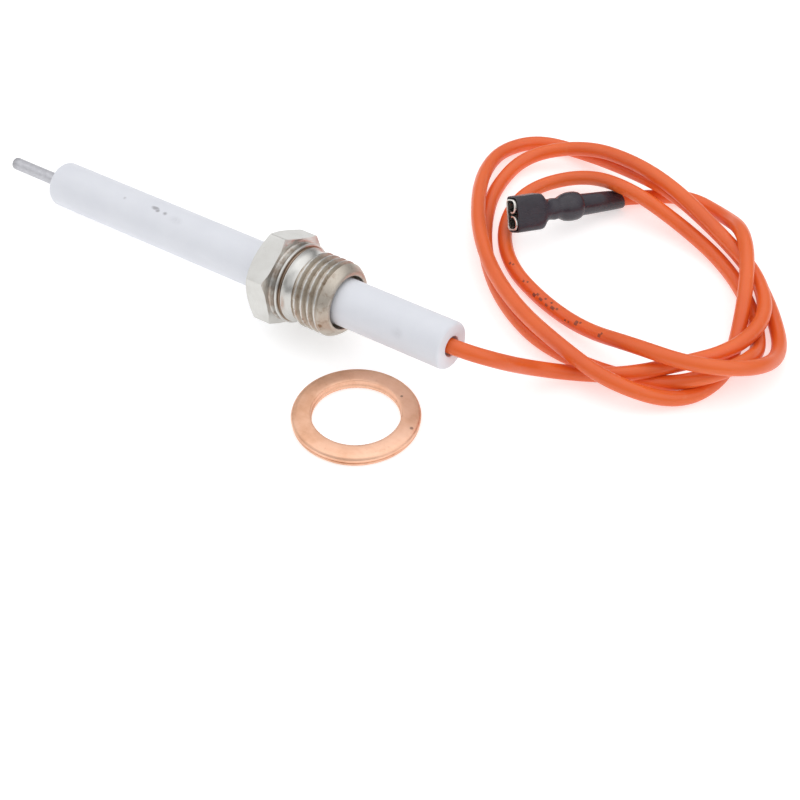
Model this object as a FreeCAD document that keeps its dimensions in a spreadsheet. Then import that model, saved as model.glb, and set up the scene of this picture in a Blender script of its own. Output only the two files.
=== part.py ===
import FreeCAD, Part
import math
import os

import Sketcher

# Flame sensor probe, millimetres and degrees.
# Origin: middle of the probe and its washer seen from above, on the surface they lie on.
# +X runs along the probe from the electrode tip to the wire, +Z is up.
SIZES = {
    "probe_tilt": 5.2,
    "front_x": -40.43, "front_y": 8.64, "front_z": 4.382,
    "rod_radius": 1.23, "rod_tip_radius": 0.75, "rod_tip_round": 0.5,
    "rod_reach": 13.85, "rod_length": 77.75,
    "ceramic_radius": 4.4, "ceramic_edge": 0.35, "ceramic_length": 94.0,
    "front_bore_radius": 1.5, "front_bore_length": 58.0, "rear_bore_radius": 1.9,
    "hex_front": 53.9, "hex_turn": 2.9, "hex_flats": 16.0, "hex_height": 4.95,
    "hex_chamfer_radius": 7.4, "hex_chamfer": 1.05, "hex_rear_radius": 7.95, "hex_rear_chamfer": 0.74,
    "collar_radius": 7.8, "collar_end": 6.8, "step_radius": 7.1, "step_end": 7.6,
    "neck_radius": 6.1, "neck_end": 9.3, "thread_start": 9.8, "thread_radius": 7.0, "thread_end": 15.8,
    "nose_radius": 5.7, "nose_end": 17.3, "lip_radius": 4.4, "lip_length": 2.1, "shell_bore_radius": 5.0,
    "thread_pitch": 1.5, "thread_depth": 0.85, "thread_land": 0.2,
    "front_packing": 56.0, "packing_length": 1.5, "cement_length": 9.0,
    "rod_cement_start": 0.6, "rod_cement_length": 5.4,
    "ferrule_start": 58.4, "ferrule_step": 5.5, "ferrule_length": 11.5, "ferrule_radius": 1.7,
    "strand_radius": 0.6, "strand_length": 14.5,
    "wire_radius": 1.4, "wire_inside": 10.0, "potting_start": 86.0, "potting_length": 5.0,
    "terminal_x": 47.98, "terminal_y": 72.95, "terminal_z": 2.0,
    "sleeve_tail_radius": 1.85, "sleeve_mid_radius": 2.2, "sleeve_bulge_radius": 2.65, "sleeve_neck_radius": 2.3,
    "sleeve_taper": 9.9, "bulge_start": 10.4, "bulge_end": 14.6, "neck_start": 16.6, "box_start": 19.4,
    "sleeve_end": 25.9, "receptacle_end": 26.3, "sleeve_wall": 0.45, "sleeve_cavity_radius": 2.0,
    "receptacle_width": 6.1, "receptacle_height": 3.0, "receptacle_wall": 0.4,
    "tab_width": 4.9, "tab_gap": 0.85, "seam_gap": 0.6,
    "neck_width": 2.5, "neck_thickness": 0.8, "neck_lap": 0.3, "link_width": 1.4,
    "wire_end": 12.5, "grip_start": 10.6, "grip_length": 2.9, "grip_radius": 1.95,
    "crimp_start": 14.0, "crimp_length": 3.2, "crimp_radius": 1.3,
    "washer_x": 42.94, "washer_y": -5.24, "washer_inner": 7.75, "washer_outer": 11.4, "washer_height": 2.0,
    "washer_wall": 0.35, "washer_round": 0.55, "washer_seam": 0.7,
}

# The corners of the lead wire's centre line, from inside the ceramic to inside the terminal.
ROUTE = [
    (43.224, 8.64, 11.995), (47.6, 8.64, 12.393), (55.6, 8.64, 13.121), (60.8, 12.8, 10.4), (62.1, 19.5, 4.8),
    (67.5, 26.0, 1.5), (75.5, 28.2, 3.9), (82.7, 35.3, 5.1), (89.0, 45.3, 4.9),
    (89.3, 57.0, 4.7), (81.5, 66.7, 4.4), (70.2, 71.6, 5.5), (59.0, 75.0, 8.0),
    (47.5, 78.2, 7.6), (35.5, 79.6, 5.3), (25.2, 73.7, 2.2), (25.7, 61.3, 1.5),
    (31.0, 50.3, 1.5), (38.3, 41.0, 1.5), (47.5, 33.6, 1.5), (58.5, 28.9, 1.5),
    (70.4, 29.3, 1.5), (81.8, 32.3, 1.9), (89.4, 36.2, 5.6), (92.2, 43.8, 5.0), (91.0, 52.0, 1.5),
    (83.5, 61.3, 1.5), (73.8, 68.6, 1.5), (62.5, 71.5, 3.4), (50.8, 71.3, 6.9),
    (39.2, 73.3, 3.8), (31.0, 65.2, 1.5), (33.5, 53.0, 1.5), (41.3, 43.7, 1.5),
    (52.3, 38.8, 1.5), (63.5, 35.6, 2.8), (75.0, 32.8, 7.6), (87.0, 33.0, 9.2),
    (95.4, 40.6, 7.2), (95.3, 52.0, 2.0), (88.0, 61.8, 1.5), (79.0, 70.0, 1.5),
    (68.0, 75.0, 2.6), (56.5, 77.3, 5.3), (45.0, 79.6, 3.9), (33.5, 81.7, 1.5),
    (24.0, 79.6, 1.5), (20.2, 72.3, 1.9), (21.8, 63.8, 3.0), (26.5, 54.5, 4.6), (33.4, 44.9, 4.9),
    (42.2, 36.9, 4.8), (52.5, 30.9, 5.0), (64.0, 26.3, 6.2), (75.7, 24.2, 5.4),
    (86.4, 30.4, 1.5), (89.8, 41.0, 1.5), (85.9, 52.8, 1.7), (81.8, 62.0, 7.2),
    (75.6, 71.7, 8.2), (67.5, 79.3, 3.0), (57.5, 82.3, 1.5), (48.926, 75.087, 1.454), (47.113, 70.991, 2.501),
    (43.051, 61.82, 4.845),
]

MOUTH_WAY = FreeCAD.Vector(-0.395, -0.892, 0.228)
WIDTH_WAY = FreeCAD.Vector(-0.398, 0.388, 0.832)


def value(text):
    """The number that a sum of size names stands for."""
    total, sign = 0.0, 1.0
    for token in text.split():
        if token in "+-":
            sign = 1.0 if token == "+" else -1.0
        else:
            total += sign * SIZES[token]
    return total


def formula(text):
    """The same sum as a spreadsheet expression."""
    return " ".join(token if token in "+-" else "sheet." + token for token in text.split())


def make_sheet(doc):
    sheet = doc.addObject("Spreadsheet::Sheet", "sheet")
    for row, name in enumerate(SIZES, start=1):
        sheet.set("A%d" % row, name)
        sheet.set("B%d" % row, repr(SIZES[name]))
        sheet.setAlias("B%d" % row, name)
    doc.recompute()
    return sheet


def closed_sketch(body, name, plane_role, corners):
    """A closed outline whose corners are held by sums of sheet sizes; an empty sum is zero."""
    sketch = body.newObject("Sketcher::SketchObject", name)
    plane = [item for item in body.Origin.OriginFeatures if item.Role == plane_role][0]
    sketch.AttachmentSupport = (plane, [""])
    sketch.MapMode = "FlatFace"
    points = [FreeCAD.Vector(value(across), value(along), 0) for across, along in corners]
    count = len(points)
    for index in range(count):
        sketch.addGeometry(Part.LineSegment(points[index], points[(index + 1) % count]), False)
    for index in range(count):
        sketch.addConstraint(Sketcher.Constraint("Coincident", index, 2, (index + 1) % count, 1))
    for index, (across, along) in enumerate(corners):
        for kind, text, axis in (("DistanceX", across, -2), ("DistanceY", along, -1)):
            if not text:
                sketch.addConstraint(Sketcher.Constraint("PointOnObject", index, 1, axis))
                continue
            number = sketch.addConstraint(Sketcher.Constraint(kind, -1, 1, index, 1, value(text)))
            sketch.renameConstraint(number, "%s%d" % (kind, index))
            sketch.setExpression("Constraints.%s%d" % (kind, index), formula(text))
    return sketch


def turned_body(doc, name, corners):
    """A body turned about its own Z from an outline of (radius, height) pairs."""
    body = doc.addObject("PartDesign::Body", name)
    body.Label = name
    sketch = closed_sketch(body, name + "_outline", "XZ_Plane", corners)
    turn = body.newObject("PartDesign::Revolution", name + "_turn")
    turn.Profile = sketch
    turn.ReferenceAxis = (sketch, ["V_Axis"])
    turn.Angle = 360
    sketch.Visibility = False
    body.Tip = turn
    doc.recompute()
    return body


def tube(doc, name, inner, outer, start, length):
    """A plain ring or bush as a turned body; start is its station along the axis."""
    corners = [(inner, start), (outer, start), (outer, start + " + " + length), (inner, start + " + " + length)]
    return turned_body(doc, name, corners)


def primitive(doc, kind, name, **formulas):
    item = doc.addObject(kind, name)
    for key, text in formulas.items():
        item.setExpression(key.replace("__", "."), formula(text) if text[0].isalpha() else text)
    return item


def joined(doc, name, shapes):
    item = doc.addObject("Part::MultiFuse", name)
    item.Shapes = shapes
    item.Refine = True
    return item


def cut(doc, name, base, tool):
    item = doc.addObject("Part::Cut", name)
    item.Base = base
    item.Tool = tool
    return item


def on_probe(item, station=0.0, about=0.0):
    """Stand an item that was made along Z on the probe's own axis, turned about it."""
    tilt = math.radians(SIZES["probe_tilt"])
    front = FreeCAD.Vector(SIZES["front_x"], SIZES["front_y"], SIZES["front_z"])
    way = FreeCAD.Vector(math.cos(tilt), 0, math.sin(tilt))
    turn = FreeCAD.Rotation(FreeCAD.Vector(0, 1, 0), 90 - SIZES["probe_tilt"])
    turn = turn * FreeCAD.Rotation(FreeCAD.Vector(0, 0, 1), about)
    item.Placement = FreeCAD.Placement(front + way * station, turn)


def on_terminal(item):
    """Stand an item that was made along Z on the terminal's axis, mouth end up."""
    spot = FreeCAD.Vector(SIZES["terminal_x"], SIZES["terminal_y"], SIZES["terminal_z"])
    side = MOUTH_WAY.cross(WIDTH_WAY)
    item.Placement = FreeCAD.Placement(spot, FreeCAD.Rotation(WIDTH_WAY, side, MOUTH_WAY, "ZXY"))


def make_rod(doc):
    corners = [
        ("", ""), ("rod_tip_radius", ""), ("rod_radius", "rod_tip_round"),
        ("rod_radius", "rod_length"), ("", "rod_length"),
    ]
    rod = turned_body(doc, "electrode_rod", corners)
    on_probe(rod, -SIZES["rod_reach"])
    return rod


def make_ceramic(doc):
    corners = [
        ("front_bore_radius", ""), ("ceramic_radius - ceramic_edge", ""), ("ceramic_radius", "ceramic_edge"),
        ("ceramic_radius", "ceramic_length - ceramic_edge"), ("ceramic_radius - ceramic_edge", "ceramic_length"),
        ("rear_bore_radius", "ceramic_length"), ("rear_bore_radius", "front_bore_length"),
        ("front_bore_radius", "front_bore_length"),
    ]
    ceramic = turned_body(doc, "ceramic_insulator", corners)
    on_probe(ceramic)
    return ceramic


def make_bushing(doc):
    """Hexagon, sealing collar, neck and threaded shank with the bore for the ceramic."""
    corners = [
        ("lip_radius", ""), ("hex_chamfer_radius", ""), ("hex_corner", "hex_chamfer"),
        ("hex_corner", "hex_height - hex_rear_chamfer"), ("hex_rear_radius", "hex_height"),
        ("collar_radius", "hex_height"), ("collar_radius", "collar_end"),
        ("step_radius", "collar_end"), ("step_radius", "step_end"), ("neck_radius", "step_end"),
        ("neck_radius", "neck_end"), ("thread_radius", "thread_start"), ("thread_radius", "thread_end"),
        ("nose_radius", "nose_end"), ("shell_bore_radius", "nose_end"), ("shell_bore_radius", "lip_length"),
        ("lip_radius", "lip_length"),
    ]
    body = turned_body(doc, "hex_bushing", corners)
    sketch = body.newObject("Sketcher::SketchObject", "hex_flats_outline")
    plane = [item for item in body.Origin.OriginFeatures if item.Role == "XY_Plane"][0]
    sketch.AttachmentSupport = (plane, [""])
    sketch.MapMode = "FlatFace"
    spots = [
        FreeCAD.Vector(math.cos(math.radians(60 * k)), math.sin(math.radians(60 * k)), 0) * SIZES["hex_corner"]
        for k in range(6)
    ]
    for index in range(6):
        sketch.addGeometry(Part.LineSegment(spots[index], spots[(index + 1) % 6]), False)
    for index in range(6):
        sketch.addConstraint(Sketcher.Constraint("Coincident", index, 2, (index + 1) % 6, 1))
    ring = sketch.addGeometry(Part.Circle(FreeCAD.Vector(), FreeCAD.Vector(0, 0, 1), SIZES["hex_flats"]), False)
    guide = Part.Circle(FreeCAD.Vector(), FreeCAD.Vector(0, 0, 1), SIZES["hex_corner"])
    guide_number = sketch.addGeometry(guide, True)
    sketch.addConstraint(Sketcher.Constraint("Coincident", ring, 3, -1, 1))
    sketch.addConstraint(Sketcher.Constraint("Coincident", guide_number, 3, -1, 1))
    for index in range(6):
        sketch.addConstraint(Sketcher.Constraint("PointOnObject", index, 1, guide_number))
        if index:
            sketch.addConstraint(Sketcher.Constraint("Equal", 0, index))
    sketch.addConstraint(Sketcher.Constraint("PointOnObject", 0, 1, -1))
    number = sketch.addConstraint(Sketcher.Constraint("Radius", ring, SIZES["hex_flats"]))
    sketch.renameConstraint(number, "ring")
    sketch.setExpression("Constraints.ring", "sheet.hex_flats")
    number = sketch.addConstraint(Sketcher.Constraint("Radius", guide_number, SIZES["hex_corner"]))
    sketch.renameConstraint(number, "corner")
    sketch.setExpression("Constraints.corner", "sheet.hex_corner")
    flats = body.newObject("PartDesign::Pocket", "hex_flats_cut")
    flats.Profile = sketch
    flats.Reversed = True
    flats.setExpression("Length", "sheet.hex_height")
    sketch.Visibility = False
    doc.recompute()
    corners = [
        ("thread_radius - thread_depth", "thread_start - thread_land"),
        ("thread_radius + thread_land", "thread_start - thread_half"),
        ("thread_radius + thread_land", "thread_start + thread_half - thread_land - thread_land"),
    ]
    groove = closed_sketch(body, "thread_outline", "XZ_Plane", corners)
    helix = body.newObject("PartDesign::SubtractiveHelix", "thread_cut")
    helix.Profile = groove
    helix.ReferenceAxis = (groove, ["V_Axis"])
    helix.Mode = 0
    helix.setExpression("Pitch", "sheet.thread_pitch")
    helix.setExpression("Height", "sheet.thread_end - sheet.thread_start + sheet.thread_land")
    helix.Angle = 0
    groove.Visibility = False
    body.Tip = helix
    doc.recompute()
    on_probe(body, SIZES["hex_front"], SIZES["hex_turn"])
    return body


def make_shell_fillings(doc):
    front = tube(doc, "front_packing_ring", "ceramic_radius", "shell_bore_radius", "front_packing", "packing_length")
    cement = tube(doc, "bushing_cement", "ceramic_radius", "shell_bore_radius",
                  "front_packing + packing_length", "cement_length")
    rear = tube(doc, "rear_packing_ring", "ceramic_radius", "shell_bore_radius",
                "front_packing + packing_length + cement_length", "packing_length")
    rod_seal = tube(doc, "rod_cement", "rod_radius", "front_bore_radius", "rod_cement_start", "rod_cement_length")
    potting = tube(doc, "bore_potting", "wire_radius", "rear_bore_radius", "potting_start", "potting_length")
    for item in (front, cement, rear, rod_seal, potting):
        on_probe(item)
    return [front, cement, rear, rod_seal, potting]


def make_splice(doc):
    """Ferrule that joins the rod to the wire's strands, and the strands behind it."""
    start = "ferrule_start"
    corners = [
        ("rod_radius", start), ("ferrule_radius", start), ("ferrule_radius", start + " + ferrule_length"),
        ("strand_radius", start + " + ferrule_length"), ("strand_radius", start + " + ferrule_step"),
        ("rod_radius", start + " + ferrule_step"),
    ]
    ferrule = turned_body(doc, "splice_ferrule", corners)
    corners = [("", "strand_start"), ("strand_radius", "strand_start"), ("strand_radius", "strand_stop"),
               ("", "strand_stop")]
    strands = turned_body(doc, "inner_conductor", corners)
    on_probe(ferrule)
    on_probe(strands)
    return [ferrule, strands]


def make_wire(doc):
    """Straight runs joined by tangent arcs, swept with a round section; a corner in line adds no arc."""
    points = [FreeCAD.Vector(*spot) for spot in ROUTE]
    edges, radii = [], []
    last = points[0]
    for before, corner, after in zip(points, points[1:], points[2:]):
        back, ahead = before - corner, after - corner
        shorter = min(back.Length, ahead.Length)
        back.normalize()
        ahead.normalize()
        half_turn = (math.pi - back.getAngle(ahead)) / 2
        if half_turn < 0.005:
            continue
        radius = 0.45 * shorter / math.tan(half_turn)
        enter = corner + back * 0.45 * shorter
        leave = corner + ahead * 0.45 * shorter
        middle_way = back + ahead
        middle_way.normalize()
        middle = corner + middle_way * (radius / math.cos(half_turn) - radius)
        edges.append(Part.LineSegment(last, enter).toShape())
        edges.append(Part.Arc(enter, middle, leave).toShape())
        radii.append(radius)
        last = leave
    edges.append(Part.LineSegment(last, points[-1]).toShape())
    spine = Part.Wire(edges)
    way = points[1] - points[0]
    ring = Part.Wire([Part.makeCircle(SIZES["wire_radius"], points[0], way)])
    item = doc.addObject("Part::Feature", "lead_wire")
    item.Label = "lead_wire"
    item.Shape = spine.makePipeShell([ring], True, False)
    length = spine.Length
    swept = length * math.pi * SIZES["wire_radius"] ** 2
    print("wire length %.1f mm, volume %.1f of %.1f" % (length, item.Shape.Volume, swept))
    print("bend radii " + " ".join("%.1f" % radius for radius in radii))
    return item


def make_terminal(doc):
    """Push-on receptacle: two rolled wings on a base plate, neck, and two crimp barrels."""
    half = "receptacle_half"
    parts = []
    for name, side in (("wing_left", "-"), ("wing_right", "")):
        roll = primitive(doc, "Part::Cylinder", name, Radius="roll_radius", Height="receptacle_end - box_start")
        roll.setExpression("Placement.Base.x", side + "(sheet.%s - sheet.roll_radius)" % half)
        roll.setExpression("Placement.Base.z", "sheet.box_start")
        hollow = primitive(doc, "Part::Cylinder", name + "_hollow", Radius="roll_radius - receptacle_wall",
                           Height="receptacle_end - box_start")
        hollow.setExpression("Placement.Base.x", side + "(sheet.%s - sheet.roll_radius)" % half)
        hollow.setExpression("Placement.Base.z", "sheet.box_start")
        parts.append(cut(doc, name + "_tube", roll, hollow))
    plate = primitive(doc, "Part::Box", "base_plate", Width="receptacle_wall", Height="receptacle_end - box_start")
    plate.setExpression("Length", "2 * (sheet.receptacle_half - sheet.roll_radius)")
    plate.setExpression("Placement.Base.x", "sheet.roll_radius - sheet.receptacle_half")
    plate.setExpression("Placement.Base.y", "sheet.roll_radius - sheet.receptacle_wall")
    plate.setExpression("Placement.Base.z", "sheet.box_start")
    section = joined(doc, "receptacle_section", parts + [plate])
    slot = primitive(doc, "Part::Box", "tab_slot", Length="tab_width", Width="tab_gap",
                     Height="receptacle_end - box_start")
    slot.setExpression("Placement.Base.x", "-sheet.tab_width / 2")
    slot.setExpression("Placement.Base.y", "sheet.roll_radius - sheet.receptacle_wall - sheet.tab_gap")
    slot.setExpression("Placement.Base.z", "sheet.box_start")
    socket = cut(doc, "receptacle_socket", section, slot)
    seam = primitive(doc, "Part::Box", "wing_seam", Length="seam_gap", Width="roll_radius",
                     Height="receptacle_end - box_start")
    seam.setExpression("Placement.Base.x", "-sheet.seam_gap / 2")
    seam.setExpression("Placement.Base.y", "-sheet.roll_radius")
    seam.setExpression("Placement.Base.z", "sheet.box_start")
    socket = cut(doc, "receptacle_open", socket, seam)
    neck = primitive(doc, "Part::Box", "receptacle_neck", Length="neck_width", Width="neck_thickness",
                     Height="box_start + neck_lap - crimp_start - crimp_length + neck_lap")
    neck.setExpression("Placement.Base.x", "-sheet.neck_width / 2")
    neck.setExpression("Placement.Base.y", "sheet.roll_radius - sheet.neck_thickness")
    neck.setExpression("Placement.Base.z", "sheet.crimp_start + sheet.crimp_length - sheet.neck_lap")
    spine = primitive(doc, "Part::Box", "barrel_link", Length="link_width", Width="receptacle_wall",
                      Height="crimp_start - grip_start - grip_length + neck_lap + neck_lap")
    spine.setExpression("Placement.Base.x", "-sheet.link_width / 2")
    spine.setExpression("Placement.Base.y", "sheet.crimp_radius - sheet.receptacle_wall")
    spine.setExpression("Placement.Base.z", "sheet.grip_start + sheet.grip_length - sheet.neck_lap")
    grip = primitive(doc, "Part::Cylinder", "jacket_crimp", Radius="grip_radius", Height="grip_length")
    grip.setExpression("Placement.Base.z", "sheet.grip_start")
    crimp = primitive(doc, "Part::Cylinder", "strand_crimp", Radius="crimp_radius", Height="crimp_length")
    crimp.setExpression("Placement.Base.z", "sheet.crimp_start")
    whole = joined(doc, "receptacle_whole", [socket, neck, spine, grip, crimp])
    jacket_hole = primitive(doc, "Part::Cylinder", "jacket_hole", Radius="wire_radius", Height="crimp_start")
    strand_hole = primitive(doc, "Part::Cylinder", "strand_hole", Radius="strand_radius",
                            Height="crimp_start + crimp_length")
    holes = joined(doc, "crimp_holes", [jacket_hole, strand_hole])
    receptacle = cut(doc, "push_on_receptacle", whole, holes)
    receptacle.Label = "push_on_receptacle"
    strand_end = "crimp_start + crimp_length"
    corners = [("", "wire_end"), ("strand_radius", "wire_end"), ("strand_radius", strand_end), ("", strand_end)]
    strands = turned_body(doc, "terminal_conductor", corners)
    on_terminal(receptacle)
    on_terminal(strands)
    return [receptacle, strands]


def make_sleeve(doc):
    """Shrunk sleeve over the wire end, both crimps and the receptacle's box."""
    corners = [
        ("wire_radius", ""), ("sleeve_tail_radius", ""), ("sleeve_mid_radius", "sleeve_taper"),
        ("sleeve_bulge_radius", "bulge_start"), ("sleeve_bulge_radius", "bulge_end"),
        ("sleeve_neck_radius", "neck_start"), ("sleeve_neck_radius", "box_start"),
        ("sleeve_cavity_radius", "box_start"), ("sleeve_cavity_radius", "bulge_start"),
        ("wire_radius", "bulge_start"),
    ]
    tail = turned_body(doc, "sleeve_tail", corners)
    shells = []
    for name, radius, start in (("sleeve_outer", "sleeve_box_radius", "box_shoulder"),
                                ("sleeve_inner", "roll_radius", "box_start")):
        shapes = []
        for side in ("-", ""):
            end = primitive(doc, "Part::Cylinder", name + ("_left" if side else "_right"), Radius=radius,
                            Height="sleeve_end - " + start)
            end.setExpression("Placement.Base.x", side + "(sheet.receptacle_half - sheet.roll_radius)")
            end.setExpression("Placement.Base.z", "sheet." + start)
            shapes.append(end)
        middle = primitive(doc, "Part::Box", name + "_middle", Height="sleeve_end - " + start)
        middle.setExpression("Length", "2 * (sheet.receptacle_half - sheet.roll_radius)")
        middle.setExpression("Width", "2 * sheet." + radius)
        middle.setExpression("Placement.Base.x", "sheet.roll_radius - sheet.receptacle_half")
        middle.setExpression("Placement.Base.y", "-sheet." + radius)
        middle.setExpression("Placement.Base.z", "sheet." + start)
        shells.append(joined(doc, name, shapes + [middle]))
    hole = primitive(doc, "Part::Cylinder", "sleeve_shoulder_hole", Radius="sleeve_cavity_radius",
                     Height="box_start")
    box = cut(doc, "sleeve_box", cut(doc, "sleeve_box_outer", shells[0], shells[1]), hole)
    sleeve = joined(doc, "heat_shrink_sleeve", [tail, box])
    sleeve.Label = "heat_shrink_sleeve"
    on_terminal(sleeve)
    return sleeve


def make_washer(doc):
    """Crush washer: a thin jacket folded round a filler, its seam on the outer rim."""
    inner, outer, deep, edge = "washer_inner", "washer_outer", "washer_height", "washer_round"
    wall = "washer_wall"
    corners = [
        (outer, edge), (outer + " - " + edge, ""), (inner + " + " + edge, ""), (inner, edge),
        (inner, deep + " - " + edge), (inner + " + " + edge, deep), (outer + " - " + edge, deep),
        (outer, deep + " - " + edge), (outer, edge + " + " + "washer_seam"),
        (outer + " - " + wall, edge + " + " + "washer_seam"), (outer + " - " + wall, deep + " - " + edge),
        (outer + " - " + edge, deep + " - " + wall), (inner + " + " + edge, deep + " - " + wall),
        (inner + " + " + wall, deep + " - " + edge), (inner + " + " + wall, edge),
        (inner + " + " + edge, wall), (outer + " - " + edge, wall), (outer + " - " + wall, edge),
    ]
    jacket = turned_body(doc, "washer_jacket", corners)
    corners = [
        (outer + " - " + wall, edge), (outer + " - " + wall, deep + " - " + edge),
        (outer + " - " + edge, deep + " - " + wall), (inner + " + " + edge, deep + " - " + wall),
        (inner + " + " + wall, deep + " - " + edge), (inner + " + " + wall, edge),
        (inner + " + " + edge, wall), (outer + " - " + edge, wall),
    ]
    filler = turned_body(doc, "washer_filler", corners)
    for item in (jacket, filler):
        spot = FreeCAD.Vector(SIZES["washer_x"], SIZES["washer_y"], 0)
        item.Placement = FreeCAD.Placement(spot, FreeCAD.Rotation())
    return [jacket, filler]


def check_and_write(doc, nodes):
    doc.recompute()
    for item in doc.Objects:
        if "Invalid" in item.State or "Error" in item.State:
            raise RuntimeError("%s is %s" % (item.Name, item.State))
    os.makedirs("parts", exist_ok=True)
    box = FreeCAD.BoundBox()
    for node in nodes:
        if node.Shape.isNull() or not node.Shape.isValid():
            raise RuntimeError(node.Label + " has a bad shape")
        if len(node.Shape.Solids) != 1:
            raise RuntimeError("%s has %d solids" % (node.Label, len(node.Shape.Solids)))
        node.Shape.exportStep("parts/%s.step" % node.Label)
        box.add(node.Shape.BoundBox)
        print("%-22s %9.2f mm3  z from %.2f" % (node.Label, node.Shape.Volume, node.Shape.BoundBox.ZMin))
    print("whole", box)


def main():
    SIZES["hex_corner"] = SIZES["hex_flats"] / math.sqrt(3)
    SIZES["thread_half"] = SIZES["thread_pitch"] / 2
    SIZES["strand_start"] = SIZES["ferrule_start"] + SIZES["ferrule_step"]
    SIZES["strand_stop"] = SIZES["ceramic_length"] - SIZES["wire_inside"]
    SIZES["receptacle_half"] = SIZES["receptacle_width"] / 2
    SIZES["roll_radius"] = SIZES["receptacle_height"] / 2
    SIZES["sleeve_box_radius"] = SIZES["receptacle_height"] / 2 + SIZES["sleeve_wall"]
    SIZES["box_shoulder"] = SIZES["box_start"] - SIZES["sleeve_wall"]
    doc = FreeCAD.newDocument("flame_sensor_probe")
    make_sheet(doc)
    nodes = [make_rod(doc), make_ceramic(doc), make_bushing(doc)]
    nodes += make_shell_fillings(doc)
    nodes += make_splice(doc)
    nodes.append(make_wire(doc))
    nodes += make_terminal(doc)
    nodes.append(make_sleeve(doc))
    nodes += make_washer(doc)
    check_and_write(doc, nodes)


main()
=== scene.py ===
import math

import bpy
from mathutils import Matrix, Vector, noise


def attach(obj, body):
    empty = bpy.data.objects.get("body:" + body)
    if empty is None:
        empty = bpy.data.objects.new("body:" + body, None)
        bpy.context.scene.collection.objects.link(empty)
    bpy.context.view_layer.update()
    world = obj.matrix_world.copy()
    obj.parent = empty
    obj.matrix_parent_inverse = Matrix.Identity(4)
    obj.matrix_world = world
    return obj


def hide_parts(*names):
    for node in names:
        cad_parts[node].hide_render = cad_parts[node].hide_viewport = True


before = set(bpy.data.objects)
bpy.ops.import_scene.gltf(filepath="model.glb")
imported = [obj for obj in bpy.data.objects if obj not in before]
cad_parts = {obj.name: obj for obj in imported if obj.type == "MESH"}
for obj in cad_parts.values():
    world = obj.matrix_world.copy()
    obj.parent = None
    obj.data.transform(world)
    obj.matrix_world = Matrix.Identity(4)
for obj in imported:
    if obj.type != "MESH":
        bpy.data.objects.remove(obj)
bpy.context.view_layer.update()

# Flame sensor probe. Helpers below take millimetres and make meshes in metres, each in its own
# axes: Z runs along the part, and a placement matrix puts it in the shared frame.
MM = 0.001
TILT = math.radians(5.2)
FRONT = Vector((-40.43, 8.64, 4.382))
WAY = Vector((math.cos(TILT), 0, math.sin(TILT)))
TERMINAL = Vector((47.98, 72.95, 2.0))
MOUTH_WAY = Vector((-0.395, -0.892, 0.228)).normalized()
WIDTH_WAY = Vector((-0.398, 0.388, 0.832))
WASHER = Vector((42.94, -5.24, 0.0))
WIRE_RADIUS = 1.4

CAMERA_SPOT = (0.18802, -0.18507, 0.2310)
CAMERA_WAY = Vector((-0.4300, 0.5706, -0.6997))
LENS, SENSOR = 84.15, 36

ROD_TIP, ROD_LENGTH, ROD_RADIUS = -13.85, 77.75, 1.23
CERAMIC_RADIUS, CERAMIC_LENGTH = 4.4, 94
HEX_FRONT, HEX_TURN, HEX_FLATS, HEX_HEIGHT = 53.9, 2.9, 16, 4.98
CHAMFER_SLOPE = 0.577
THREAD_START, THREAD_RISE, THREAD_STEPS = 9.3, 6.6, 132
THREAD_PITCH, CREST_RADIUS, ROOT_RADIUS, CREST_STATION = 1.5, 7.0, 6.2, 9.48
STRIP = 0.36

# The lead wire's route, the same corners as the CAD tube has.
ROUTE = [
    (43.224, 8.64, 11.995), (47.6, 8.64, 12.393), (55.6, 8.64, 13.121), (60.8, 12.8, 10.4), (62.1, 19.5, 4.8),
    (67.5, 26.0, 1.5), (75.5, 28.2, 3.9), (82.7, 35.3, 5.1), (89.0, 45.3, 4.9),
    (89.3, 57.0, 4.7), (81.5, 66.7, 4.4), (70.2, 71.6, 5.5), (59.0, 75.0, 8.0),
    (47.5, 78.2, 7.6), (35.5, 79.6, 5.3), (25.2, 73.7, 2.2), (25.7, 61.3, 1.5),
    (31.0, 50.3, 1.5), (38.3, 41.0, 1.5), (47.5, 33.6, 1.5), (58.5, 28.9, 1.5),
    (70.4, 29.3, 1.5), (81.8, 32.3, 1.9), (89.4, 36.2, 5.6), (92.2, 43.8, 5.0), (91.0, 52.0, 1.5),
    (83.5, 61.3, 1.5), (73.8, 68.6, 1.5), (62.5, 71.5, 3.4), (50.8, 71.3, 6.9),
    (39.2, 73.3, 3.8), (31.0, 65.2, 1.5), (33.5, 53.0, 1.5), (41.3, 43.7, 1.5),
    (52.3, 38.8, 1.5), (63.5, 35.6, 2.8), (75.0, 32.8, 7.6), (87.0, 33.0, 9.2),
    (95.4, 40.6, 7.2), (95.3, 52.0, 2.0), (88.0, 61.8, 1.5), (79.0, 70.0, 1.5),
    (68.0, 75.0, 2.6), (56.5, 77.3, 5.3), (45.0, 79.6, 3.9), (33.5, 81.7, 1.5),
    (24.0, 79.6, 1.5), (20.2, 72.3, 1.9), (21.8, 63.8, 3.0), (26.5, 54.5, 4.6), (33.4, 44.9, 4.9),
    (42.2, 36.9, 4.8), (52.5, 30.9, 5.0), (64.0, 26.3, 6.2), (75.7, 24.2, 5.4),
    (86.4, 30.4, 1.5), (89.8, 41.0, 1.5), (85.9, 52.8, 1.7), (81.8, 62.0, 7.2),
    (75.6, 71.7, 8.2), (67.5, 79.3, 3.0), (57.5, 82.3, 1.5), (48.926, 75.087, 1.454), (47.113, 70.991, 2.501),
    (43.051, 61.82, 4.845),
]


def link(obj):
    bpy.context.scene.collection.objects.link(obj)
    return obj


# ---------------------------------------------------------------- camera and lead wire first

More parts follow.
